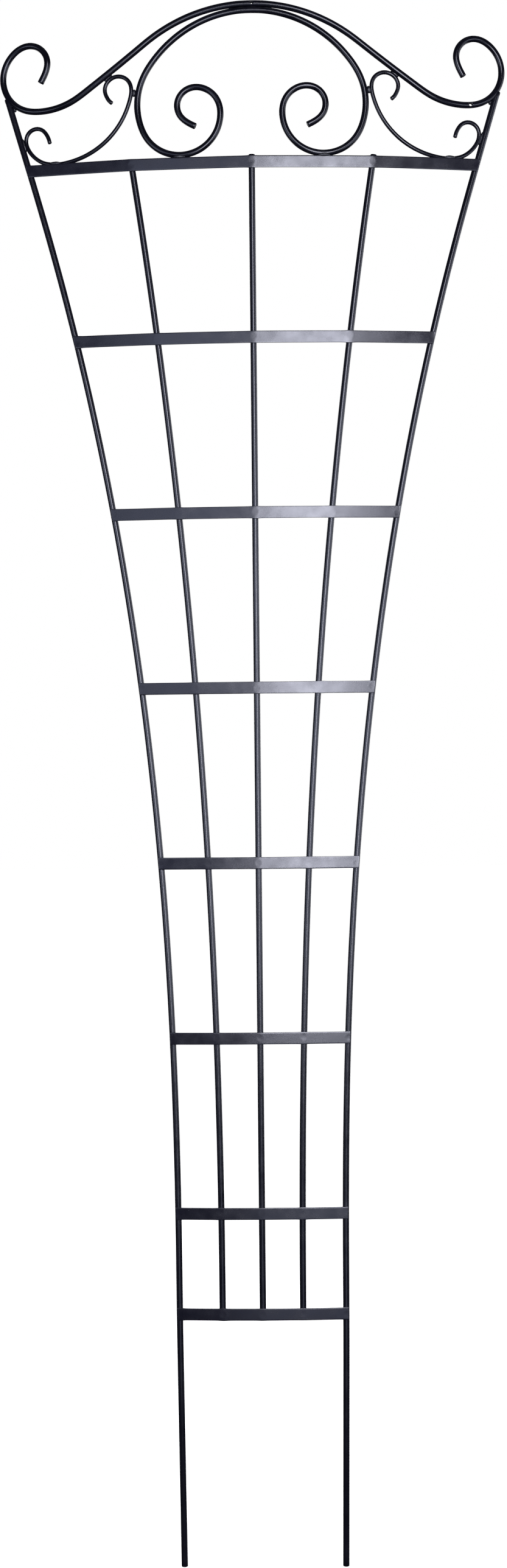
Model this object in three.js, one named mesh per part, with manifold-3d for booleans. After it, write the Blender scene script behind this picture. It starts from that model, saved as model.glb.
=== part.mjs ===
// Garden trellis panel: a fan of five upright rods behind eight flat cross strips, under an ornament of
// bent rods (a rolling crest, a heart-shaped arch and two side scrolls). Its two legs run on as
// ground stakes.
//
// Millimetres, +Z up. The front faces -Y, the stake ends are at z = 0 and x = 0 is the middle of the panel.

import * as THREE from 'three';
import { mergeVertices } from 'three/addons/utils/BufferGeometryUtils.js';
import Module from 'manifold-3d';

const wasm = await Module();
wasm.setup();

// ---------------------------------------------------------------- driving dimensions

const ROD_RADIUS = 4;
const SCROLL_RADIUS = 2.5;
const STRIP_HEIGHT = 16;
const STRIP_THICKNESS = 2;
const STRIP_INSET = 1; // a strip's ends stop this far inside the outer sides of the legs
const WELD_GAP = 0.3; // left open between pieces that are welded to each other

const STAKE_LENGTH = 340; // stake end to the middle of the lowest strip
const LOWEST_PITCH = 135; // lowest strip to the second
const STRIP_PITCH = 235; // each of the other spaces
const STRIP_COUNT = 8;
const FAN_HEIGHT = 1517; // height over which the rods spread by the amounts below

const LEG_HALF_WIDTH = 112; // at the lowest strip
const LEG_SPREAD = 183;
const LEG_POWER = 2.44;
const LEG_STRAIGHT_FROM = 1855; // above this height the legs run on straight
const STAKE_TAPER = 3.5; // the stakes lean in by this much at their ends
const STAKE_CUT = 3; // the legs are made this much longer below and then cut off level at z = 0
const LEG_TOP = 1987; // a leg's tip lies along the outside of the crest's curl
const LEG_WELD_SETBACK = 16; // the leg's weld sits this far below its tip
const INNER_HALF_WIDTH = 54;
const INNER_SPREAD = 104;
const INNER_POWER = 2.2;
const BOW_RADIUS = 1100; // the whole panel is bent round a vertical axis, its middle forward

const ROD_TAIL = 5; // inner rods run this far below the middle of the lowest strip
const ROD_STUB = 10.5; // the middle and right inner rods run this far above the middle of the top strip
const SHORT_ROD_STUB = 6; // the left inner rod stops lower

const CROWN_VENT_RADIUS = 1.6;
const CURL_VENT_RADIUS = 2.2;
const CURL_VENT_SHIFT = 7; // the right curl's vent is this far outward of the curl's lowest point

// Bent pieces are chains of stretches, one row each: [length, bend radius]. A plus radius turns left,
// a minus radius turns right and STRAIGHT doesn't turn. The crest and the arch start at the middle and
// run to the right.
const STRAIGHT = Infinity;
const CREST_START = { x: 0, z: 2098, heading: 0 };
const CREST_STRETCHES = [
  [154, -233],
  [110, 2000],
  [70, 97],
  [117, 46.5],
  [67, 26.2],
  [16, STRAIGHT],
];
const ARCH_START = { x: 0, z: 2089.6, heading: 0 };
const ARCH_STRETCHES = [
  [165, -166.5],
  [89, -89],
  [156, -54.7],
  [48, -33.7],
  [67, -25],
  [13, STRAIGHT],
];
const SCROLL_START = { x: 188, z: 1970.8, heading: 42.8 };
const SCROLL_STRETCHES = [
  [6, STRAIGHT],
  [76, 18.5],
  [152.5, 108],
  [56, 41.4],
  [47, 15.4],
  [12, STRAIGHT],
];

const ROD_SIDES = 8;
const LEG_STEPS = 26;
const INNER_STEPS = 18;
const CREST_STEPS = 116;
const ARCH_STEPS = 116;
const SCROLL_STEPS = 56;

// ---------------------------------------------------------------- finish

const panel = new THREE.Group();

const COAT_ROUGHNESS = 0.42;
const WELD_ROUGHNESS = 0.55;

/** Black powder-coated steel; welds show a little rougher through the coat. */
function coat(roughness) {
  return new THREE.MeshStandardMaterial({ color: 0x1b1b20, roughness, metalness: 0.35 });
}

function addPart(name, geometry, roughness = COAT_ROUGHNESS) {
  const mesh = new THREE.Mesh(geometry, coat(roughness));
  mesh.name = name;
  panel.add(mesh);
  return mesh;
}

// ---------------------------------------------------------------- solids

/** A closed geometry as a solid that can be cut. */
function toSolid(geometry) {
  const bare = geometry.index ? geometry.toNonIndexed() : geometry.clone();
  bare.deleteAttribute('normal');
  bare.deleteAttribute('uv');
  const merged = mergeVertices(bare, 1e-4);
  return new wasm.Manifold(new wasm.Mesh({
    numProp: 3,
    vertProperties: new Float32Array(merged.attributes.position.array),
    triVerts: new Uint32Array(merged.index.array),
  }));
}

function toGeometry(solid) {
  const mesh = solid.getMesh();
  const geometry = new THREE.BufferGeometry();
  geometry.setAttribute('position', new THREE.BufferAttribute(mesh.vertProperties, 3));
  geometry.setIndex(new THREE.BufferAttribute(mesh.triVerts, 1));
  return geometry;
}

function cut(solid, ...tools) {
  return tools.reduce((rest, tool) => rest.subtract(tool), solid);
}

// ---------------------------------------------------------------- where the rods run

/** How far the bent panel falls back at a distance x from its middle. */
function bow(x) {
  return (x * x) / (2 * BOW_RADIUS);
}

function onPanel(x, z) {
  return new THREE.Vector3(x, bow(x), z);
}

function fan(z, halfWidth, spread, power) {
  const rise = Math.max(0, z - STAKE_LENGTH) / FAN_HEIGHT;
  return halfWidth + spread * rise ** power;
}

/** How far a leg's middle is from the middle of the panel at a height. */
function legX(z) {
  const taper = STAKE_TAPER * Math.max(0, 1 - z / STAKE_LENGTH);
  const curveEnd = Math.min(z, LEG_STRAIGHT_FROM);
  const curved = fan(curveEnd, LEG_HALF_WIDTH, LEG_SPREAD, LEG_POWER);
  const below = fan(curveEnd - 1, LEG_HALF_WIDTH, LEG_SPREAD, LEG_POWER);
  return curved + (curved - below) * (z - curveEnd) - taper;
}

/** How far a leg moves outward for each millimetre of height. */
function legLean(z) {
  return legX(z + 0.5) - legX(z - 0.5);
}

function innerX(z) {
  return fan(z, INNER_HALF_WIDTH, INNER_SPREAD, INNER_POWER);
}

function stripZ(number) {
  return STAKE_LENGTH + (number > 1 ? LOWEST_PITCH + (number - 2) * STRIP_PITCH : 0);
}

/** An upright rod: side is -1, 0 or 1 and offset gives its distance from the middle at a height. */
class UprightCurve extends THREE.Curve {
  constructor(side, offset, bottom, top) {
    super();
    Object.assign(this, { side, offset, bottom, top });
  }

  getPoint(t, target = new THREE.Vector3()) {
    const z = this.bottom + t * (this.top - this.bottom);
    return target.copy(onPanel(this.side * this.offset(z), z));
  }
}

/** Points along a chain of stretches that leaves (x, z) at a heading in degrees. */
function bend({ x, z, heading }, stretches, spacing = 2) {
  const points = [new THREE.Vector2(x, z)];
  let angle = THREE.MathUtils.degToRad(heading);
  for (const [length, radius] of stretches) {
    const count = Math.round(length / spacing);
    const turn = length / count / radius;
    for (let i = 0; i < count; i += 1) {
      const direction = new THREE.Vector2(Math.cos(angle + turn / 2), Math.sin(angle + turn / 2));
      points.push(points.at(-1).clone().addScaledVector(direction, length / count));
      angle += turn;
    }
  }
  return points;
}

function mirrored(points) {
  return points.map((p) => new THREE.Vector2(-p.x, p.y));
}

/** A piece that is the same on both sides of x = 0, from its left end to its right end. */
function bothSides(rightHalf) {
  return [...mirrored(rightHalf).reverse(), ...rightHalf.slice(1)];
}

/** The lowest point of a line, as a place on the panel. */
function lowest(line) {
  const point = line.reduce((low, p) => (p.y < low.y ? p : low));
  return { x: point.x, z: point.y };
}

/** The first place on a line that is a given distance to the right of the line's lowest point. */
function rightOfLowest(line, distance) {
  const from = lowest(line).x + distance;
  const point = line.find((p) => p.x >= from);
  return { x: point.x, z: point.y };
}

function throughPoints(points) {
  return new THREE.CatmullRomCurve3(points.map((p) => onPanel(p.x, p.y)));
}

// ---------------------------------------------------------------- rods

function roundSection(radius) {
  const corners = [];
  for (let i = 0; i < ROD_SIDES; i += 1) {
    const angle = ((i + 0.5) * 2 * Math.PI) / ROD_SIDES;
    corners.push(new THREE.Vector2(radius * Math.cos(angle), radius * Math.sin(angle)));
  }
  return new THREE.Shape(corners);
}

/** A rod's solid, and the slightly larger space that its neighbours keep out of. */
function rod(curve, radius, steps) {
  const swept = (r) => toSolid(new THREE.ExtrudeGeometry(roundSection(r), { extrudePath: curve, steps }));
  return { solid: swept(radius), clearance: swept(radius + WELD_GAP) };
}

/** A small hole through a rod from front to back. */
function vent({ x, z }, radius) {
  const drill = new THREE.CylinderGeometry(radius, radius, 4 * ROD_RADIUS, ROD_SIDES);
  drill.translate(x, bow(x), z);
  return toSolid(drill);
}

const crestHalf = bend(CREST_START, CREST_STRETCHES);
const archHalf = bend(ARCH_START, ARCH_STRETCHES);
const scrollLine = bend(SCROLL_START, SCROLL_STRETCHES);

const crest = rod(throughPoints(bothSides(crestHalf)), ROD_RADIUS, CREST_STEPS);
const arch = rod(throughPoints(bothSides(archHalf)), ROD_RADIUS, ARCH_STEPS);
const scrolls = {
  left: rod(throughPoints(mirrored(scrollLine)), SCROLL_RADIUS, SCROLL_STEPS),
  right: rod(throughPoints(scrollLine), SCROLL_RADIUS, SCROLL_STEPS),
};
const legs = {
  left: rod(new UprightCurve(-1, legX, -STAKE_CUT, LEG_TOP), ROD_RADIUS, LEG_STEPS),
  right: rod(new UprightCurve(1, legX, -STAKE_CUT, LEG_TOP), ROD_RADIUS, LEG_STEPS),
};

const rodFoot = STAKE_LENGTH - ROD_TAIL;
const topStripZ = stripZ(STRIP_COUNT);
const innerRods = {
  left: rod(new UprightCurve(-1, innerX, rodFoot, topStripZ + SHORT_ROD_STUB), ROD_RADIUS, INNER_STEPS),
  right: rod(new UprightCurve(1, innerX, rodFoot, topStripZ + ROD_STUB), ROD_RADIUS, INNER_STEPS),
};
const middleRod = rod(new UprightCurve(0, innerX, rodFoot, topStripZ + ROD_STUB), ROD_RADIUS, 1);

// ---------------------------------------------------------------- cross strips

/** How far the middle of a strip's end is from the middle of the panel. */
function stripReach(z) {
  return legX(z) + (ROD_RADIUS - STRIP_INSET) * Math.hypot(1, legLean(z));
}

/**
 * A strip is straight from rod to rod and kinked where it crosses them. It lies in front of the rods and
 * meets them at its lower edge, where the leaning rods stand furthest forward.
 */
function stripOutline(z, growth) {
  const lowerEdge = z - STRIP_HEIGHT / 2;
  const setback = ROD_RADIUS + WELD_GAP - growth;
  const kink = (offset) => new THREE.Vector2(offset(z), bow(offset(lowerEdge)) - setback);
  const outer = kink(legX);
  const inner = kink(innerX);
  const slope = (outer.y - inner.y) / (outer.x - inner.x);
  const overhang = STRIP_HEIGHT; // enough for the slanting cut
  const end = new THREE.Vector2(outer.x + overhang, outer.y + overhang * slope);
  const right = [new THREE.Vector2(0, -setback), inner, end];
  const back = bothSides(right);
  const front = back.map((p) => new THREE.Vector2(p.x, p.y - STRIP_THICKNESS - 2 * growth));
  return new THREE.Shape([...front, ...back.reverse()]);
}

/** A strip with its ends cut along the legs, or the slightly larger space that its neighbours keep out of. */
function stripSolid(z, growth = 0) {
  const height = STRIP_HEIGHT + 2 * growth;
  const geometry = new THREE.ExtrudeGeometry(stripOutline(z, growth), { depth: height, bevelEnabled: false });
  geometry.translate(0, 0, z - height / 2);
  const lean = legLean(z);
  const cutPlace = (lean * z - stripReach(z) - growth) / Math.hypot(1, lean);
  return toSolid(geometry).trimByPlane([-1, 0, lean], cutPlace).trimByPlane([1, 0, lean], cutPlace);
}

// ---------------------------------------------------------------- welds

/**
 * The narrowest place between two rods, each given as { line, radius }: the middle of the gap, and the angle
 * of the rods there.
 */
function narrowest(first, second) {
  let best = { distance: Infinity };
  for (const a of first.line) {
    for (const b of second.line) {
      const distance = a.distanceTo(b);
      best = distance < best.distance ? { a, b, distance } : best;
    }
  }
  const across = best.b.clone().sub(best.a);
  const reach = first.radius + (best.distance - first.radius - second.radius) / 2;
  const middle = best.a.clone().addScaledVector(across, reach / best.distance);
  return { x: middle.x, z: middle.y, turn: THREE.MathUtils.radToDeg(across.angle()) + 90 };
}

/**
 * A bead of weld metal: an ellipsoid turned in the panel's face and cut back from the pieces it joins. It
 * lies forward of the middles of the rods, or behind them where forward is negative.
 */
function bead({ x, z, turn = 0 }, { length, width, depth, forward = 0 }, neighbours) {
  const blob = new THREE.SphereGeometry(0.5, 12, 8);
  blob.scale(length, depth, width);
  blob.rotateY(THREE.MathUtils.degToRad(-turn));
  blob.translate(x, bow(x) - forward, z);
  return cut(toSolid(blob), ...neighbours);
}

const legLine = [];
for (let z = topStripZ; z < LEG_TOP - LEG_WELD_SETBACK; z += 1) {
  legLine.push(new THREE.Vector2(legX(z), z));
}
const crestRod = { line: crestHalf, radius: ROD_RADIUS };
const archRod = { line: archHalf, radius: ROD_RADIUS };
const legRod = { line: legLine, radius: ROD_RADIUS };
const scrollRod = { line: scrollLine, radius: SCROLL_RADIUS };
const topEdge = topStripZ + STRIP_HEIGHT / 2;
const BAR_WELD_RISE = 1; // these welds lie mostly above the strip's edge
const topStripClearance = stripSolid(topStripZ, WELD_GAP);

/** The welds found on each side of the panel, placed on the right side. */
const SIDE_WELDS = [
  {
    name: 'crest_to_leg_weld',
    place: narrowest(legRod, crestRod),
    size: { length: 9, width: 7, depth: 5.5, forward: -3 },
    joins: (side) => [crest.clearance, legs[side].clearance],
  },
  {
    name: 'scroll_to_crest_weld',
    place: narrowest(scrollRod, crestRod),
    size: { length: 13, width: 6, depth: 4.5, forward: -2.5 },
    joins: (side) => [crest.clearance, scrolls[side].clearance],
  },
  {
    name: 'scroll_to_arch_weld',
    place: narrowest(scrollRod, archRod),
    size: { length: 10, width: 9, depth: 6 },
    joins: (side) => [arch.clearance, scrolls[side].clearance],
  },
  {
    name: 'scroll_to_leg_weld',
    place: narrowest(scrollRod, legRod),
    size: { length: 18, width: 6.5, depth: 6 },
    joins: (side) => [legs[side].clearance, scrolls[side].clearance],
  },
  {
    name: 'scroll_to_bar_weld',
    place: { x: lowest(scrollLine).x, z: topEdge + BAR_WELD_RISE },
    size: { length: 15, width: 5, depth: 5.2, forward: 4 },
    joins: (side) => [scrolls[side].clearance, topStripClearance],
  },
  {
    name: 'arch_to_bar_weld',
    place: { x: lowest(archHalf).x, z: topEdge + BAR_WELD_RISE },
    size: { length: 15, width: 5, depth: 4.8, forward: 4.6 },
    joins: () => [arch.clearance, topStripClearance],
  },
];

// ---------------------------------------------------------------- assembly

const ground = new THREE.BoxGeometry(4 * LEG_HALF_WIDTH, 10 * ROD_RADIUS, 4 * STAKE_CUT);
ground.translate(0, 0, -2 * STAKE_CUT);
const belowGround = toSolid(ground);

const curlVentPlace = rightOfLowest(crestHalf, CURL_VENT_SHIFT);
const crestVents = [vent(CREST_START, CROWN_VENT_RADIUS), vent(curlVentPlace, CURL_VENT_RADIUS)];
addPart('crest_rod', toGeometry(cut(crest.solid, ...crestVents)));
addPart('arch_rod', toGeometry(arch.solid));
addPart('middle_rod', toGeometry(middleRod.solid));

for (const side of ['left', 'right']) {
  addPart(`${side}_leg`, toGeometry(cut(legs[side].solid, crest.clearance, belowGround)));
  addPart(`${side}_inner_rod`, toGeometry(innerRods[side].solid));
  addPart(`${side}_side_scroll`, toGeometry(scrolls[side].solid));
  const sign = side === 'left' ? -1 : 1;
  for (const weld of SIDE_WELDS) {
    const place = { x: sign * weld.place.x, z: weld.place.z, turn: sign * (weld.place.turn ?? 0) };
    addPart(`${side}_${weld.name}`, toGeometry(bead(place, weld.size, weld.joins(side))), WELD_ROUGHNESS);
  }
}

for (let number = 1; number <= STRIP_COUNT; number += 1) {
  addPart(`cross_bar_${number}`, toGeometry(stripSolid(stripZ(number))));
}

const crownPlace = { x: 0, z: (CREST_START.z + ARCH_START.z) / 2 };
const crownSize = { length: 62, width: 6, depth: 5, forward: -4.3 };
const crownWeld = bead(crownPlace, crownSize, [crest.clearance, arch.clearance]);
addPart('crest_to_arch_weld', toGeometry(crownWeld), WELD_ROUGHNESS);

// The origin is on the ground, midway between the panel's front and its back.
const extent = new THREE.Box3().setFromObject(panel);
panel.position.y = -(extent.min.y + extent.max.y) / 2;

export default panel;
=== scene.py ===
"""A black powder-coated garden trellis panel: round rods, flat cross strips and the welds between them.

Every piece is rebuilt finely from the CAD node it stands for. The middle line of a rod is followed
through its faceted solid, a strip keeps its plan and height, and a weld keeps its place, direction
and size.
"""
import math

import bmesh
import bpy
import numpy as np
from mathutils import Matrix, Vector, noise
from mathutils.bvhtree import BVHTree


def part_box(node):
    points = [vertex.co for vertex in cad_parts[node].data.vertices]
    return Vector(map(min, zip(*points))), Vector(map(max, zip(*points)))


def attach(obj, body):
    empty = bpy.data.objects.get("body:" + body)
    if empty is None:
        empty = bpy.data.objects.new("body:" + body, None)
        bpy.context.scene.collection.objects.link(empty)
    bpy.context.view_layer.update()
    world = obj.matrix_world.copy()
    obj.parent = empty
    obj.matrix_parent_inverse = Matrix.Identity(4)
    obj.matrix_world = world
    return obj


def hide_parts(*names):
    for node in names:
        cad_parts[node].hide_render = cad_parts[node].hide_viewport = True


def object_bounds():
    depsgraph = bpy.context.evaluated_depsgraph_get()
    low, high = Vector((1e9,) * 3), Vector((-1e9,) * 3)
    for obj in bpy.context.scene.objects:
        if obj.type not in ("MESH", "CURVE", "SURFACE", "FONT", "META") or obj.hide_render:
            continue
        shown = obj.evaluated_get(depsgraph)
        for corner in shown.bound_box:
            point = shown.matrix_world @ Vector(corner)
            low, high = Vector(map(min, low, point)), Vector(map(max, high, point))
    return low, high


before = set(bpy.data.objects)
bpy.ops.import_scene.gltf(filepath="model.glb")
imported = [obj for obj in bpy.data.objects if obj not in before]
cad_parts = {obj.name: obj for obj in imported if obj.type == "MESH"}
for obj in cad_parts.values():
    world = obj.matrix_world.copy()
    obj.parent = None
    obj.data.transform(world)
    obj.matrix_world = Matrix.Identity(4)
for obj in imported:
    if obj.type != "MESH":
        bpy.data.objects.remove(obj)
cad_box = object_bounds()

MM = 0.001
SIDES = ("left", "right")
BAR_NAMES = [f"cross_bar_{number}" for number in range(1, 9)]
UPRIGHTS_ACROSS = ("left_leg", "left_inner_rod", "middle_rod", "right_inner_rod", "right_leg")

ROD_RADIUS = 4 * MM
SCROLL_RADIUS = 2.5 * MM
COAT_THICKNESS = 0.3 * MM
CROWN_VENT_RADIUS = 1.6 * MM
CURL_VENT_RADIUS = 2.2 * MM
CURL_VENT_SHIFT = 7 * MM  # the right curl's vent is this far outward of the curl's lowest point


# ---------------------------------------------------------------- following a rod through its CAD solid

WALK_STEP = 3 * MM
LONGEST_WALK = 2000  # steps
CENTRING_ROUNDS = 5
CHORDS_PER_ROUND = 8
START_ABOVE_FOOT = 0.3 * MM
FACE_SKIN = 0.1 * MM  # a ray starts this far past a wall that it has already met
HOLE_SEARCH = 3 * CURL_VENT_RADIUS
TIP_LENGTH = 24 * MM  # the part of a leg that is shaped to fit the crest
TIP_HEADING_POINTS = 6  # a leg's tip runs on in the direction of this many points below it
UPRIGHT_SMOOTHING = 14  # points averaged on each side of a point
BEND_SMOOTHING = 4
UPRIGHT_RING_SPACING = 8 * MM
BEND_RING_SPACING = 3 * MM


def solid_tree(node):
    """The CAD node's surface, for casting rays inside it."""
    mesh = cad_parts[node].data
    points = [vertex.co.copy() for vertex in mesh.vertices]
    return BVHTree.FromPolygons(points, [tuple(face.vertices) for face in mesh.polygons])


def centred(tree, point, heading, radius):
    """The middle of the rod in the plane through point that is square to heading."""
    across = heading.orthogonal().normalized()
    upward = heading.cross(across)
    reach = 3 * radius
    for _ in range(CENTRING_ROUNDS):
        shifts = []
        for turn in np.linspace(0, math.pi, CHORDS_PER_ROUND, endpoint=False):
            ray = across * math.cos(turn) + upward * math.sin(turn)
            ahead = tree.ray_cast(point, ray, reach)[0]
            behind = tree.ray_cast(point, -ray, reach)[0]
            if ahead is None or behind is None:
                # this point lies in a hole drilled through the rod
                return point
            shifts.append((ahead + behind) / 2 - point)
        # the middle of a chord is on average halfway to the centre of the circle
        point = point + sum(shifts, Vector()) * (2 / len(shifts))
    return point


def walk(tree, start, heading, radius):
    """Points along the middle of a rod, from start to the end face that heading leads to."""
    point = centred(tree, start, heading, radius)
    line = [point]
    while len(line) < LONGEST_WALK:
        face, outward = tree.ray_cast(point, heading, WALK_STEP)[:2]
        if face is not None and outward.dot(heading) > 0:
            # another wall close beyond this one means a drilled hole, not the end
            beyond = tree.ray_cast(face + heading * FACE_SKIN, heading, HOLE_SEARCH)[0]
            if beyond is None:
                return line + [face]
        ahead = centred(tree, point + heading * WALK_STEP, heading, radius)
        heading = (ahead - point).normalized()
        point = ahead
        line.append(point)
    raise RuntimeError("a rod has no end")


def smoothed(line, span):
    """Takes out the facets of the CAD path without pulling its curves inward."""
    def averaged(points):
        result = points.copy()
        for i in range(1, len(points) - 1):
            reach = min(span, i, len(points) - 1 - i)
            result[i] = points[i - reach:i + reach + 1].mean(axis=0)
        return result

    points = np.array(line)
    once = averaged(points)
    return once + averaged(points - once)


def resampled(points, spacing):
    """The same line with its points evenly spaced."""
    lengths = np.concatenate([[0], np.cumsum(np.linalg.norm(np.diff(points, axis=0), axis=1))])
    count = max(2, int(round(lengths[-1] / spacing)) + 1)
    places = np.linspace(0, lengths[-1], count)
    return np.stack([np.interp(places, lengths, points[:, axis]) for axis in range(3)], axis=1)


def upright_line(node):
    """An upright rod's middle line, from its lowest end up."""
    tree = solid_tree(node)
    low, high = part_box(node)
    corners = [v.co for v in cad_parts[node].data.vertices if v.co.z < low.z + MM]
    foot = sum(corners, Vector()) / len(corners)
    upward = Vector((0, 0, 1))
    line = [foot] + walk(tree, foot + upward * START_ABOVE_FOOT, upward, ROD_RADIUS)[1:]
    if not node.endswith("leg"):
        return resampled(smoothed(line, UPRIGHT_SMOOTHING), UPRIGHT_RING_SPACING)
    # a leg's tip is cut to the crest's shape, so the line runs on straight to its full height
    below_tip = [foot] + [point for point in line[1:] if point.z < high.z - TIP_LENGTH]
    points = smoothed(below_tip, UPRIGHT_SMOOTHING)
    heading = points[-1] - points[-TIP_HEADING_POINTS]
    tip = points[-1] + heading / heading[2] * (high.z - points[-1][2])
    return resampled(np.vstack([points, tip]), UPRIGHT_RING_SPACING)


def bent_line(node, radius, from_top):
    """The middle line of a bent rod, found both ways from its highest or its lowest point."""
    tree = solid_tree(node)
    corners = [v.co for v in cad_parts[node].data.vertices]
    extreme = max(corners, key=lambda co: co.z) if from_top else min(corners, key=lambda co: co.z)
    inward = -radius if from_top else radius
    start = extreme + Vector((0, 0, inward))
    # the two walks set out a little apart, clear of a hole drilled between them
    sideways = Vector((radius, 0, 0))
    rightward = walk(tree, start + sideways, Vector((1, 0, 0)), radius)
    leftward = walk(tree, start - sideways, Vector((-1, 0, 0)), radius)
    return resampled(smoothed(leftward[::-1] + rightward, BEND_SMOOTHING), BEND_RING_SPACING)


def at_height(line, z):
    """Where an upright middle line passes a height."""
    return Vector((np.interp(z, line[:, 2], line[:, 0]), np.interp(z, line[:, 2], line[:, 1]), z))


# ---------------------------------------------------------------- pieces and their rings

def new_piece(name, builder, material, node):
    """A finished bmesh as a smooth piece of the panel that stands for a CAD node."""
    mesh = bpy.data.meshes.new(name)
    bmesh.ops.recalc_face_normals(builder, faces=builder.faces)
    builder.to_mesh(mesh)
    builder.free()
    mesh.polygons.foreach_set("use_smooth", [True] * len(mesh.polygons))
    piece = bpy.data.objects.new(name, mesh)
    bpy.context.scene.collection.objects.link(piece)
    mesh.materials.append(material)
    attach(piece, "root")
    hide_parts(node)
    return piece


def add_rings(builder, rings):
    """Skins a list of closed rings of points and caps both ends."""
    loops = [[builder.verts.new(point) for point in ring] for ring in rings]
    for near, far in zip(loops, loops[1:]):
        for i in range(len(near)):
            j = (i + 1) % len(near)
            builder.faces.new((near[i], near[j], far[j], far[i]))
    builder.faces.new(loops[0][::-1])
    builder.faces.new(loops[-1])


# ---------------------------------------------------------------- rods

ROD_SIDES = 24
END_CHAMFER = 0.7 * MM
ROD_UNEVENNESS = 0.006  # a drawn rod under a sprayed coat is not quite even along its length
ROD_UNEVENNESS_RATE = 60  # per metre


def carried_frames(points):
    """The direction of a line at each point, with two square directions that don't twist along it."""
    directions = np.gradient(points, axis=0)
    directions /= np.linalg.norm(directions, axis=1)[:, None]
    across = Vector(directions[0]).orthogonal().normalized()
    frames = []
    for direction in directions:
        heading = Vector(direction)
        across = (across - heading * across.dot(heading)).normalized()
        frames.append((heading, across, heading.cross(across)))
    return frames


def rod_rings(points, radius):
    """Rings round a middle line, with the cut ends eased as the coating leaves them."""
    frames = carried_frames(points)
    last = len(points) - 1
    stations = [(0, 0, radius - END_CHAMFER), (0, END_CHAMFER, radius)]
    stations += [(i, 0, radius) for i in range(1, last)]
    stations += [(last, -END_CHAMFER, radius), (last, 0, radius - END_CHAMFER)]
    turns = [2 * math.pi * i / ROD_SIDES for i in range(ROD_SIDES)]
    rings = []
    for index, along, size in stations:
        heading, across, upward = frames[index]
        centre = Vector(points[index]) + heading * along
        size *= 1 + ROD_UNEVENNESS * noise.noise(centre * ROD_UNEVENNESS_RATE)
        rings.append([centre + (across * math.cos(a) + upward * math.sin(a)) * size for a in turns])
    return rings


def rod_piece(node, points, radius, material):
    """A round rod with its coat, along a middle line."""
    builder = bmesh.new()
    add_rings(builder, rod_rings(points, radius + COAT_THICKNESS))
    return new_piece(f"fine_{node}", builder, material, node)


def drill(piece, place, radius):
    """Cuts a small round hole through a rod from front to back."""
    cutter_mesh = bpy.data.meshes.new("drill")
    builder = bmesh.new()
    lying = Matrix.Translation(place) @ Matrix.Rotation(math.pi / 2, 4, "X")
    bmesh.ops.create_cone(builder, cap_ends=True, segments=ROD_SIDES, radius1=radius, radius2=radius,
                          depth=6 * ROD_RADIUS, matrix=lying)
    builder.to_mesh(cutter_mesh)
    builder.free()
    cutter = bpy.data.objects.new("drill", cutter_mesh)
    bpy.context.scene.collection.objects.link(cutter)
    modifier = piece.modifiers.new("vent", "BOOLEAN")
    modifier.object = cutter
    modifier.operation = "DIFFERENCE"
    modifier.solver = "EXACT"
    bpy.context.view_layer.update()
    cut = bpy.data.meshes.new_from_object(piece.evaluated_get(bpy.context.evaluated_depsgraph_get()))
    piece.modifiers.clear()
    piece.data = cut
    bpy.data.objects.remove(cutter)


def crest_piece(material):
    """The rolling top rod, with one vent at its crown and one in its right curl."""
    line = bent_line("crest_rod", ROD_RADIUS, from_top=True)
    crest = rod_piece("crest_rod", line, ROD_RADIUS, material)
    crown = line[line[:, 2].argmax()]
    drill(crest, Vector(crown), CROWN_VENT_RADIUS)
    right_half = line[line[:, 0] > ROD_RADIUS]
    curl_lowest = right_half[right_half[:, 2].argmin()]
    past_lowest = right_half[:, 0] >= curl_lowest[0] + CURL_VENT_SHIFT
    drill(crest, Vector(right_half[past_lowest.argmax()]), CURL_VENT_RADIUS)


# ---------------------------------------------------------------- cross strips

EDGE_TOLERANCE = 0.1 * MM  # a corner this close to the strip's top or bottom is on it
STRIP_EDGE_RADIUS = 0.45 * MM
STRIP_FACE_CELLS = 12
STRIP_EDGE_CELLS = 3
STRIP_SPRING = 0.4  # 0 is a strip with all its bend at the rods, 1 is an even curve
KINK_OFFSETS = (-3 * MM, -1.5 * MM, 0, 1.5 * MM, 3 * MM)  # a kink is a small bend, not a crease
PLAIN_END = 4 * MM  # the strip's ends aren't softened that way
NEAR_A_ROD = 9 * MM
RING_SPACING_AT_RODS = 0.9 * MM
RING_SPACING_BETWEEN = 3.5 * MM
LEAN_LENGTH = 25 * MM  # rings near the ends lean with the legs, rings further in stand upright

SPOT_RADIUS = 4.2 * MM  # electrode mark of a spot weld
SPOT_DEPTH = 0.06 * MM
PIT_WALL = 0.75  # of the spot's radius, like the four below
PIT_SOFTNESS = 0.2
PIT_SOFTNESS_SPREAD = 0.15
RIM_CREST = 1.15
RIM_WIDTH = 0.3
RIM_HEIGHT = 0.3  # of the spot's depth
SPOT_STRAY_ALONG = 1.5 * MM
SPOT_STRAY_UP = 3 * MM
HUMP_HEIGHT = 0.55 * MM  # the strip's edge is squeezed out a little beside a spot weld
HUMP_RADIUS = 6 * MM
MEAN_SQUEEZE = 0.5  # of the hump's height
HUMP_STRAY = 3  # times as far as the spot itself
FUSE_RADIUS = 4.5 * MM  # where a strip's back flows into a rod
FUSE_HEIGHT = 0.9 * MM
FUSE_FADE = 2.2  # the swelling is whole at the back and gone at the middle of the strip's thickness

# a plain number inside a noise call only picks a place in the noise
FACE_WAVE = 0.1 * MM  # how far a strip's face wanders along its length
FACE_WAVE_RATE = 14  # per metre
EDGE_WAVE = 0.12 * MM
EDGE_WAVE_RATE = 22  # per metre


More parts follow.
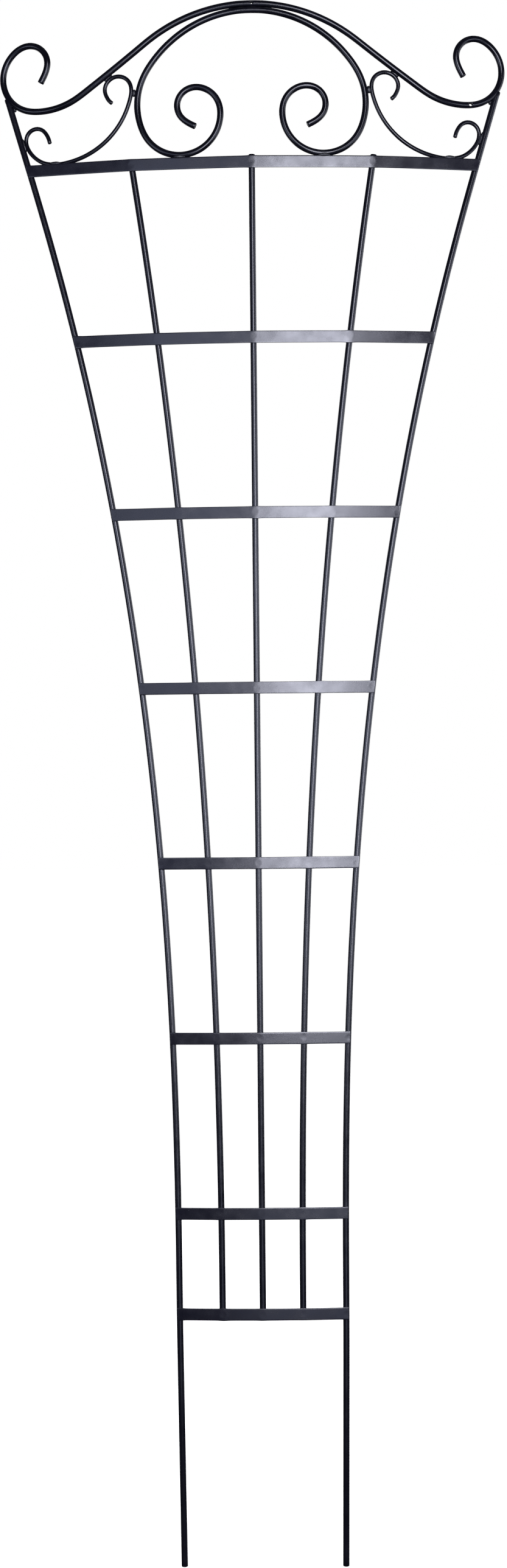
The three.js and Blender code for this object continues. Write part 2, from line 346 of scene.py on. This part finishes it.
def strip_plan(node):
    """A strip's middle line from above, thickness, foot, head and the slant of its ends."""
    low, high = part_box(node)
    points = [v.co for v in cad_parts[node].data.vertices]
    corners = {}
    for co in points:
        if co.z > high.z - EDGE_TOLERANCE:
            corners.setdefault(round(co.x, 4), []).append(co.y)
    xs = sorted(corners)
    middle = [Vector((x, (min(corners[x]) + max(corners[x])) / 2)) for x in xs]
    away_from_ends = corners[xs[2]]
    thickness = max(away_from_ends) - min(away_from_ends)
    right_foot = max(co.x for co in points if co.z < low.z + EDGE_TOLERANCE)
    height = high.z - low.z
    slant = (xs[-1] - right_foot) / height
    for end, inward in ((0, 1), (-1, -1)):
        middle[end] += (middle[end + inward] - middle[end]).normalized() * slant * height / 2
    return middle, thickness, low.z, high.z, slant


def bowed_plan(middle):
    """The strip's middle line from above as a function of x, partly an even curve and partly kinked."""
    xs, ys = zip(*middle)
    even = np.polyfit(xs, ys, 2)

    def plan(x):
        if xs[0] + PLAIN_END < x < xs[-1] - PLAIN_END:
            kinked = np.mean([np.interp(x + offset, xs, ys) for offset in KINK_OFFSETS])
        else:
            kinked = np.interp(x, xs, ys)
        return STRIP_SPRING * np.polyval(even, x) + (1 - STRIP_SPRING) * kinked

    return plan


def strip_places(start, end, crossings):
    """Where along x the strip has its rings: close together at the rods, wide apart between them."""
    places = [start]
    while places[-1] < end:
        nearest = min(abs(places[-1] - crossing.x) for crossing in crossings)
        spacing = RING_SPACING_AT_RODS if nearest < NEAR_A_ROD else RING_SPACING_BETWEEN
        places.append(places[-1] + spacing)
    return places[:-1] + [end]


def strip_section(thickness, strip_height):
    """A closed flat section with eased edges, as pairs of depth towards the back and height."""
    half_thickness = thickness / 2
    reach = strip_height / 2 - STRIP_EDGE_RADIUS
    heights = [reach * (2 * i / STRIP_FACE_CELLS - 1) for i in range(STRIP_FACE_CELLS + 1)]
    front = [(-half_thickness, height) for height in heights]
    top = []
    for i in range(1, 2 * STRIP_EDGE_CELLS):
        turn = math.pi * i / (2 * STRIP_EDGE_CELLS)
        corner = -math.cos(turn)
        depth = math.copysign(half_thickness - STRIP_EDGE_RADIUS, corner) + STRIP_EDGE_RADIUS * corner
        top.append((depth if abs(corner) > 1e-6 else 0.0, reach + STRIP_EDGE_RADIUS * math.sin(turn)))
    return front + top + [(-d, -h) for d, h in front] + [(-d, -h) for d, h in top]


class SpotWeld:
    """The spot weld at a rod, a little off its true place and unlike its neighbours."""

    def __init__(self, crossing):
        seed = Vector((crossing.x * 31, crossing.z * 17, 3.1))
        self.x = crossing.x
        self.aside = noise.noise(seed) * SPOT_STRAY_ALONG
        self.raised = noise.noise(seed * 1.7) * SPOT_STRAY_UP
        self.squeeze = MEAN_SQUEEZE + noise.noise(seed * 2.3)
        self.softness = PIT_SOFTNESS + PIT_SOFTNESS_SPREAD * noise.noise(seed * 3.1)

    def distance(self, x, height):
        """How far a point of the strip's face is from the middle of the spot."""
        return math.hypot(x - self.x - self.aside, height - self.raised)

    def hump(self, place):
        """How far the strip's edges are squeezed out at a place along x."""
        away = place - self.x - HUMP_STRAY * self.aside
        return HUMP_HEIGHT * self.squeeze * math.exp(-(away / HUMP_RADIUS) ** 2)

    def dent(self, distance):
        """Depth of the round electrode mark at a distance from its middle, with the rim it pushes up."""
        away = distance / SPOT_RADIUS
        pit = SPOT_DEPTH / (1 + math.exp((away - PIT_WALL) / self.softness))
        rim = RIM_HEIGHT * SPOT_DEPTH * math.exp(-((away - RIM_CREST) / RIM_WIDTH) ** 2)
        return pit - rim


def fused_back(distance, depth, thickness):
    """How far the strip's back swells towards the rod that it is welded to."""
    fade = min(1, FUSE_FADE * depth / thickness)
    return FUSE_HEIGHT * math.exp(-(distance / FUSE_RADIUS) ** 4) * fade


def strip_piece(node, rod_lines, material):
    """A flat strip across the rods, with its spot welds, kinks and slanted ends."""
    middle, thickness, foot, head, slant = strip_plan(node)
    half_height = (head - foot) / 2
    centre_z = (foot + head) / 2
    start, end = middle[0].x, middle[-1].x
    plan = bowed_plan(middle)
    section = strip_section(thickness, 2 * half_height)
    spots = [SpotWeld(at_height(line, centre_z)) for line in rod_lines]
    rings = []
    for place in strip_places(start, end, spots):
        spot = min(spots, key=lambda each: abs(place - each.x))
        stretch = 1 + spot.hump(place) / half_height
        wave = FACE_WAVE * noise.noise(Vector((place * FACE_WAVE_RATE, centre_z * 5, 0.4)))
        lean = max(0, 1 - (place - start) / LEAN_LENGTH, 1 - (end - place) / LEAN_LENGTH)
        ring = []
        for depth, height in section:
            x = place + math.copysign(slant, place) * height * lean
            distance = spot.distance(x, height)
            shift = spot.dent(distance) if depth < 0 else fused_back(distance, depth, thickness)
            backward = Vector((plan(x - MM) - plan(x + MM), 2 * MM)).normalized()
            backward *= depth + wave + shift
            edge_seed = Vector((x * EDGE_WAVE_RATE, math.copysign(5, height), centre_z * 9))
            z = centre_z + height * stretch + EDGE_WAVE * noise.noise(edge_seed)
            ring.append((x + backward.x, plan(x) + backward.y, z))
        rings.append(ring)
    builder = bmesh.new()
    add_rings(builder, rings)
    return new_piece(f"fine_{node}", builder, material, node)


# ---------------------------------------------------------------- welds

WELD_SUBDIVISIONS = 5
WELD_RIPPLE_LENGTH = 2.6 * MM
WELD_RIPPLE_HEIGHT = 0.035  # as a share of the bead's half width, like the next two
WELD_BODY = 0.93
WELD_LUMPINESS = 0.08
WELD_LUMP_RATE = 1.7  # per half bead
WELD_STRETCH = 0.06  # how far a lump also lengthens the bead
RIPPLE_CURVE = 0.25  # ripples are arcs that trail at the bead's edges


def weld_piece(node, material):
    """A low rippled bead in the place of a CAD weld, long where that one is long."""
    corners = np.array([v.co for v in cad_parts[node].data.vertices])
    low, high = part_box(node)
    centre = np.array((low + high) / 2)
    axes = np.linalg.eigh(np.cov((corners - centre).T))[1][:, ::-1].T
    reach = [np.abs((corners - centre) @ axis).max() for axis in axes]
    ripples = max(2, round(2 * reach[0] / WELD_RIPPLE_LENGTH))
    builder = bmesh.new()
    bmesh.ops.create_icosphere(builder, subdivisions=WELD_SUBDIVISIONS, radius=1)
    for vertex in builder.verts:
        ball = vertex.co.copy()
        along = ball.x + RIPPLE_CURVE * ball.z ** 2
        ripple = abs(math.sin(math.pi * ripples * along / 2))
        lump = noise.noise(ball * WELD_LUMP_RATE + Vector(centre) * 31)
        size = WELD_BODY + WELD_RIPPLE_HEIGHT * ripple + WELD_LUMPINESS * lump
        local = [ball.x * (1 + WELD_STRETCH * lump), ball.y * size, ball.z * size]
        vertex.co = Vector(centre + sum(axis * r * c for axis, r, c in zip(axes, reach, local)))
    return new_piece(f"fine_{node}", builder, material, node)


# ---------------------------------------------------------------- materials

# a SPAN is the pair of noise values between which something sets in
PATCH_SIZE = 45 * MM  # where the black is a little paler
PATCH_SPAN = (0.35, 0.68)
SHARPNESS = 0.53  # Pointiness from which an edge is rubbed
ROD_SHARPNESS = 0.8
EDGE_ONSET = 0.09  # how much sharper an edge is where it is rubbed in full
RUB_SIZE = 7 * MM
RUB_SPAN = (0.45, 0.7)
RUB_MOST = 0.7
RUBBED_COLOUR = (0.06, 0.058, 0.062, 1)
DUST_AND_TOP_LIGHT_FACING = (0.35, 1)  # the normal's upward share, from no dust and painted top light to all of them
DUST_AND_TOP_LIGHT_SIZE = 12 * MM
DUST_AND_TOP_LIGHT_SPAN = (0.4, 0.75)
DUST_AND_TOP_LIGHT_MOST = 0.5
# a pale bluish colour on what faces up: partly dust, partly painted light from above
DUST_AND_TOP_LIGHT_COLOUR = (0.075, 0.078, 0.088, 1)
DUST_ROUGHNESS = 0.25
GLOSS_PATCH_SIZE = 18 * MM
GLOSS_PATCH_SPAN = (0.3, 0.7)
SMOOTHER = 0.04  # how far the roughness of a patch falls below the coat's own
ROUGHER = 0.05
PEEL_SIZE = 1.6 * MM
WELD_PEEL_SIZE = 1.1 * MM
RIPPLE_SIZE = 26 * MM  # slow waves of the coat
RIPPLE_HEIGHT = 0.12 * MM
RIPPLE_STRENGTH = 0.6
SPECK_SIZE = 1.4 * MM
SPECK_SPAN = (0.74, 0.82)
SPECK_HEIGHT = 0.03 * MM
COAT_IOR = 1.5
COAT_TINT = (0.82, 0.85, 1, 1)


class Nodes:
    """Short calls for building a material's node tree."""

    def __init__(self, name):
        self.material = bpy.data.materials.new(name)
        self.material.use_nodes = True
        self.tree = self.material.node_tree
        self.shader = self.tree.nodes["Principled BSDF"]
        self.place = self.add("ShaderNodeTexCoord").outputs["Object"]

    def put(self, value, socket):
        """Gives a socket a link or a plain value."""
        if isinstance(value, bpy.types.NodeSocket):
            self.tree.links.new(value, socket)
        else:
            socket.default_value = value

    def add(self, kind, inputs=None, **settings):
        """A new node with its settings, and its inputs by name or number."""
        node = self.tree.nodes.new(kind)
        for key, value in settings.items():
            setattr(node, key, value)
        for key, value in (inputs or {}).items():
            self.put(value, node.inputs[key])
        return node

    def noise(self, size, detail=3.0, roughness=0.5):
        """Noise with features of about that size in metres."""
        inputs = {"Vector": self.place, "Scale": 1 / size, "Detail": detail, "Roughness": roughness}
        return self.add("ShaderNodeTexNoise", inputs).outputs["Fac"]

    def ramp(self, value, span, start=0, end=1):
        """A straight ramp from start to end while value crosses span, and level outside it."""
        inputs = {"Value": value, "From Min": span[0], "From Max": span[1], "To Min": start, "To Max": end}
        return self.add("ShaderNodeMapRange", inputs).outputs["Result"]

    def math(self, operation, *values):
        """One sum or product of links and plain values."""
        return self.add("ShaderNodeMath", dict(enumerate(values)), operation=operation).outputs[0]

    def blend(self, share, first, second):
        """A mix of two colours, all second where share is 1."""
        return self.add("ShaderNodeMix", {0: share, 6: first, 7: second}, data_type="RGBA").outputs[2]

    def bump(self, height, distance, strength=1.0, normal=None):
        """A relief as deep as distance, on top of another one if a normal is given."""
        inputs = {"Height": height, "Distance": distance, "Strength": strength}
        if normal is not None:
            inputs["Normal"] = normal
        return self.add("ShaderNodeBump", inputs).outputs["Normal"]

    def link(self, value, socket):
        """Feeds one of the surface shader's own sockets."""
        self.tree.links.new(value, self.shader.inputs[socket])


def rubbed_edges(nodes, geometry, sharp):
    """How far the coat is rubbed: only on edges sharper than sharp, and in patches."""
    edges = nodes.ramp(geometry.outputs["Pointiness"], (sharp, sharp + EDGE_ONSET))
    patches = nodes.ramp(nodes.noise(RUB_SIZE), RUB_SPAN, end=RUB_MOST)
    return nodes.math("MULTIPLY", edges, patches)


def dust_and_painted_top_light(nodes, geometry):
    """How much dust and painted light from above lie on the coat: only on what faces up, and in patches."""
    upward = nodes.add("ShaderNodeSeparateXYZ", {"Vector": geometry.outputs["Normal"]}).outputs["Z"]
    facing_up = nodes.ramp(upward, DUST_AND_TOP_LIGHT_FACING)
    patches = nodes.ramp(nodes.noise(DUST_AND_TOP_LIGHT_SIZE, detail=5), DUST_AND_TOP_LIGHT_SPAN, end=DUST_AND_TOP_LIGHT_MOST)
    return nodes.math("MULTIPLY", facing_up, patches)


def coat_relief(nodes, peel_height, peel_size):
    """Orange peel, slow waves and a few specks under the coat."""
    orange_peel = nodes.bump(nodes.noise(peel_size, detail=1.5), peel_height)
    ripple = nodes.bump(nodes.noise(RIPPLE_SIZE, detail=1), RIPPLE_HEIGHT, RIPPLE_STRENGTH, orange_peel)
    specks = nodes.ramp(nodes.noise(SPECK_SIZE, detail=2), SPECK_SPAN)
    return nodes.bump(specks, SPECK_HEIGHT, normal=ripple)


def powder_coat(name, deep, pale, roughness, peel_height, peel_size=PEEL_SIZE,
                sharp=SHARPNESS, shine=0.5):
    """Black powder coat: orange peel, uneven gloss, rubbed edges, and a little dust with painted light from
    above on what faces up.
    """
    nodes = Nodes(name)
    geometry = nodes.add("ShaderNodeNewGeometry")
    patches = nodes.ramp(nodes.noise(PATCH_SIZE, detail=4), PATCH_SPAN)
    colour = nodes.blend(patches, deep, pale)
    colour = nodes.blend(rubbed_edges(nodes, geometry, sharp), colour, RUBBED_COLOUR)
    # dust on what faces up, with painted light from above in the same pale bluish colour
    dust_and_top_light = dust_and_painted_top_light(nodes, geometry)
    nodes.link(nodes.blend(dust_and_top_light, colour, DUST_AND_TOP_LIGHT_COLOUR), "Base Color")
    gloss_patches = nodes.noise(GLOSS_PATCH_SIZE, detail=4)
    uneven = nodes.ramp(gloss_patches, GLOSS_PATCH_SPAN, roughness - SMOOTHER, roughness + ROUGHER)
    nodes.link(nodes.math("ADD", uneven, nodes.math("MULTIPLY", dust_and_top_light, DUST_ROUGHNESS)), "Roughness")
    nodes.link(coat_relief(nodes, peel_height, peel_size), "Normal")
    nodes.shader.inputs["IOR"].default_value = COAT_IOR
    nodes.shader.inputs["Specular IOR Level"].default_value = shine
    nodes.shader.inputs["Specular Tint"].default_value = COAT_TINT
    return nodes.material


def strip_coat():
    """The coat of the flat strips, whose orange peel shows more than a rod's."""
    deep = (0.0025, 0.0025, 0.0065, 1)
    pale = (0.005, 0.005, 0.0105, 1)
    return powder_coat("powder_coat", deep, pale, roughness=0.24, peel_height=0.012 * MM)


def straight_rod_coat():
    """The coat of the uprights, rubbed only where an edge is really sharp."""
    deep = (0.0012, 0.0012, 0.0038, 1)
    pale = (0.003, 0.003, 0.0065, 1)
    return powder_coat("rod_coat", deep, pale, roughness=0.23, peel_height=0.006 * MM,
                       sharp=ROD_SHARPNESS, shine=0.48)


def bent_rod_coat():
    """The coat of the crest, the arch and the scrolls: glossier, with a fainter shine."""
    deep = (0.0012, 0.0012, 0.003, 1)
    pale = (0.0025, 0.0025, 0.0055, 1)
    return powder_coat("bent_rod_coat", deep, pale, roughness=0.19, peel_height=0.004 * MM,
                       sharp=ROD_SHARPNESS, shine=0.3)


def weld_coat():
    """The duller, coarser coat over a weld."""
    deep = (0.003, 0.003, 0.005, 1)
    pale = (0.006, 0.006, 0.009, 1)
    return powder_coat("coated_weld", deep, pale, roughness=0.42, peel_height=0.05 * MM,
                       peel_size=WELD_PEEL_SIZE)


# ---------------------------------------------------------------- the panel

def build_panel():
    coat = strip_coat()
    rod_coat = straight_rod_coat()
    bent_coat = bent_rod_coat()
    weld = weld_coat()

    uprights = {node: upright_line(node) for node in UPRIGHTS_ACROSS}
    for node, line in uprights.items():
        rod_piece(node, line, ROD_RADIUS, rod_coat)

    crest_piece(bent_coat)
    rod_piece("arch_rod", bent_line("arch_rod", ROD_RADIUS, from_top=True), ROD_RADIUS, bent_coat)
    for side in SIDES:
        node = f"{side}_side_scroll"
        rod_piece(node, bent_line(node, SCROLL_RADIUS, from_top=False), SCROLL_RADIUS, bent_coat)

    for node in BAR_NAMES:
        strip_piece(node, list(uprights.values()), coat)

    for node in sorted(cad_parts):
        if node.endswith("_weld"):
            weld_piece(node, weld)


# ---------------------------------------------------------------- stage and light

ROOM_TO_CAMERA = 1.0
ROOM_TO_SURFACES = 0.05
ROOM_TINT = (0.93, 0.95, 1, 1)
FLOOR_REACH = 30
FLOOR_GAP = 0.2 * MM
WARM = (1, 0.98, 0.97)
SKY = (0.8, 0.86, 1)
PALE_SKY = (0.85, 0.9, 1)
PALEST_SKY = (0.9, 0.93, 1)
SIDE_WHITE = (0.92, 0.94, 1)


def soft_light(name, place, target, size, brightness, colour=(1, 1, 1), roll=0.0):
    """A rectangular soft box that faces a point. A plus roll leans its top to the right."""
    width, height = size
    light = bpy.data.lights.new(name, "AREA")
    light.shape = "RECTANGLE"
    light.size = width
    light.size_y = height
    light.energy = brightness * math.pi * width * height
    light.color = colour
    lamp = bpy.data.objects.new(name, light)
    lamp.location = place
    facing = (Vector(target) - Vector(place)).to_track_quat("-Z", "Y").to_matrix()
    lamp.rotation_euler = (facing @ Matrix.Rotation(-roll, 3, "Z")).to_euler()
    lamp.visible_camera = False
    bpy.context.scene.collection.objects.link(lamp)


def white_room():
    """Plain white behind the object, with only a dim grey for it to mirror."""
    world = bpy.data.worlds.new("studio")
    bpy.context.scene.world = world
    world.use_nodes = True
    tree = world.node_tree
    tree.nodes.clear()
    seen = tree.nodes.new("ShaderNodeBackground")
    seen.inputs["Color"].default_value = (1, 1, 1, 1)
    seen.inputs["Strength"].default_value = ROOM_TO_CAMERA
    mirrored = tree.nodes.new("ShaderNodeBackground")
    mirrored.inputs["Color"].default_value = ROOM_TINT
    mirrored.inputs["Strength"].default_value = ROOM_TO_SURFACES
    rays = tree.nodes.new("ShaderNodeLightPath")
    mix = tree.nodes.new("ShaderNodeMixShader")
    output = tree.nodes.new("ShaderNodeOutputWorld")
    tree.links.new(rays.outputs["Is Camera Ray"], mix.inputs["Fac"])
    tree.links.new(mirrored.outputs["Background"], mix.inputs[1])
    tree.links.new(seen.outputs["Background"], mix.inputs[2])
    tree.links.new(mix.outputs["Shader"], output.inputs["Surface"])


def pale_floor(z):
    """A wide floor that glows as white as the room and adds nothing to reflections or bounced light."""
    mesh = bpy.data.meshes.new("floor")
    builder = bmesh.new()
    bmesh.ops.create_grid(builder, x_segments=8, y_segments=8, size=FLOOR_REACH)
    builder.to_mesh(mesh)
    builder.free()
    floor = bpy.data.objects.new("floor", mesh)
    floor.location.z = z
    bpy.context.scene.collection.objects.link(floor)
    nodes = Nodes("pale_floor")
    nodes.shader.inputs["Base Color"].default_value = (0.8, 0.8, 0.8, 1)
    nodes.shader.inputs["Roughness"].default_value = 0.9
    nodes.shader.inputs["Emission Color"].default_value = (1, 1, 1, 1)
    nodes.shader.inputs["Emission Strength"].default_value = 1.0
    mesh.materials.append(nodes.material)
    floor.visible_glossy = False
    floor.visible_diffuse = False


def light_panel():
    """Eight soft boxes. A brightness of 1 is that of the white room."""
    # name, place, target, width and height, brightness, colour, roll
    soft_light("key", (0.61, -3.7, 1.75), (0.61, 0, 1.75), (0.98, 2.5), 21, WARM, math.radians(7))
    soft_light("left_fill", (-0.95, -3.6, 1.95), (-0.6, 0, 1.9), (1.4, 1.9), 2.0, SKY)
    soft_light("left_wing", (-2.3, -2.5, 1.15), (0, 0, 1.15), (1.5, 1.5), 4.0, PALE_SKY)
    soft_light("right_wing", (2.3, -2.5, 1.15), (0, 0, 1.15), (1.5, 1.5), 5.0, PALEST_SKY)
    soft_light("right_side", (2.8, -0.2, 1.6), (0, 0, 1.6), (2.0, 2.1), 2.5, SIDE_WHITE)
    soft_light("floor_glow", (0.4, -2.5, 0.01), (0.4, -2.5, 1), (1.1, 2.3), 1.5, SKY)
    soft_light("back_left", (-2.2, 2.8, 1.4), (0, 0, 1.2), (1.2, 2.4), 3.5)
    soft_light("back_right", (2.4, 2.4, 1.3), (0, 0, 1.1), (1.0, 2.4), 5.0)


# ---------------------------------------------------------------- camera

CAMERA_DISTANCE = 3.6
CAMERA_AZIMUTH = math.radians(1.34)
CAMERA_ROLL = math.radians(0.56)
CAMERA_ASIDE = -5.8 * MM  # the camera stands this far to the side of the line to the panel's middle
SENSOR_WIDTH = 36
FRAME_HEIGHT = 2.1033  # what the picture takes in at the panel's middle, from top to bottom


def panel_middle():
    """The point halfway up the panel, in the plane of its middle rod."""
    low, high = cad_box
    rod_low, rod_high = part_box("middle_rod")
    return Vector((0, (rod_low.y + rod_high.y) / 2, (low.z + high.z) / 2))


def add_camera(middle):
    """A level camera in front of the panel, a little round to its right and slightly rolled."""
    camera = bpy.data.cameras.new("camera")
    camera.sensor_width = SENSOR_WIDTH
    camera.lens = SENSOR_WIDTH * CAMERA_DISTANCE / FRAME_HEIGHT
    holder = bpy.data.objects.new("camera", camera)
    turn = Matrix.Rotation(CAMERA_AZIMUTH, 4, "Z")
    stand = turn @ Matrix.Translation((CAMERA_ASIDE, -CAMERA_DISTANCE, 0))
    level = Matrix.Rotation(math.pi / 2, 4, "X")
    holder.matrix_world = Matrix.Translation(middle) @ stand @ level @ Matrix.Rotation(-CAMERA_ROLL, 4, "Z")
    bpy.context.scene.collection.objects.link(holder)
    bpy.context.scene.camera = holder


build_panel()
add_camera(panel_middle())
white_room()
pale_floor(cad_box[0].z - FLOOR_GAP)
light_panel()
bpy.context.scene.view_settings.view_transform = "Standard"
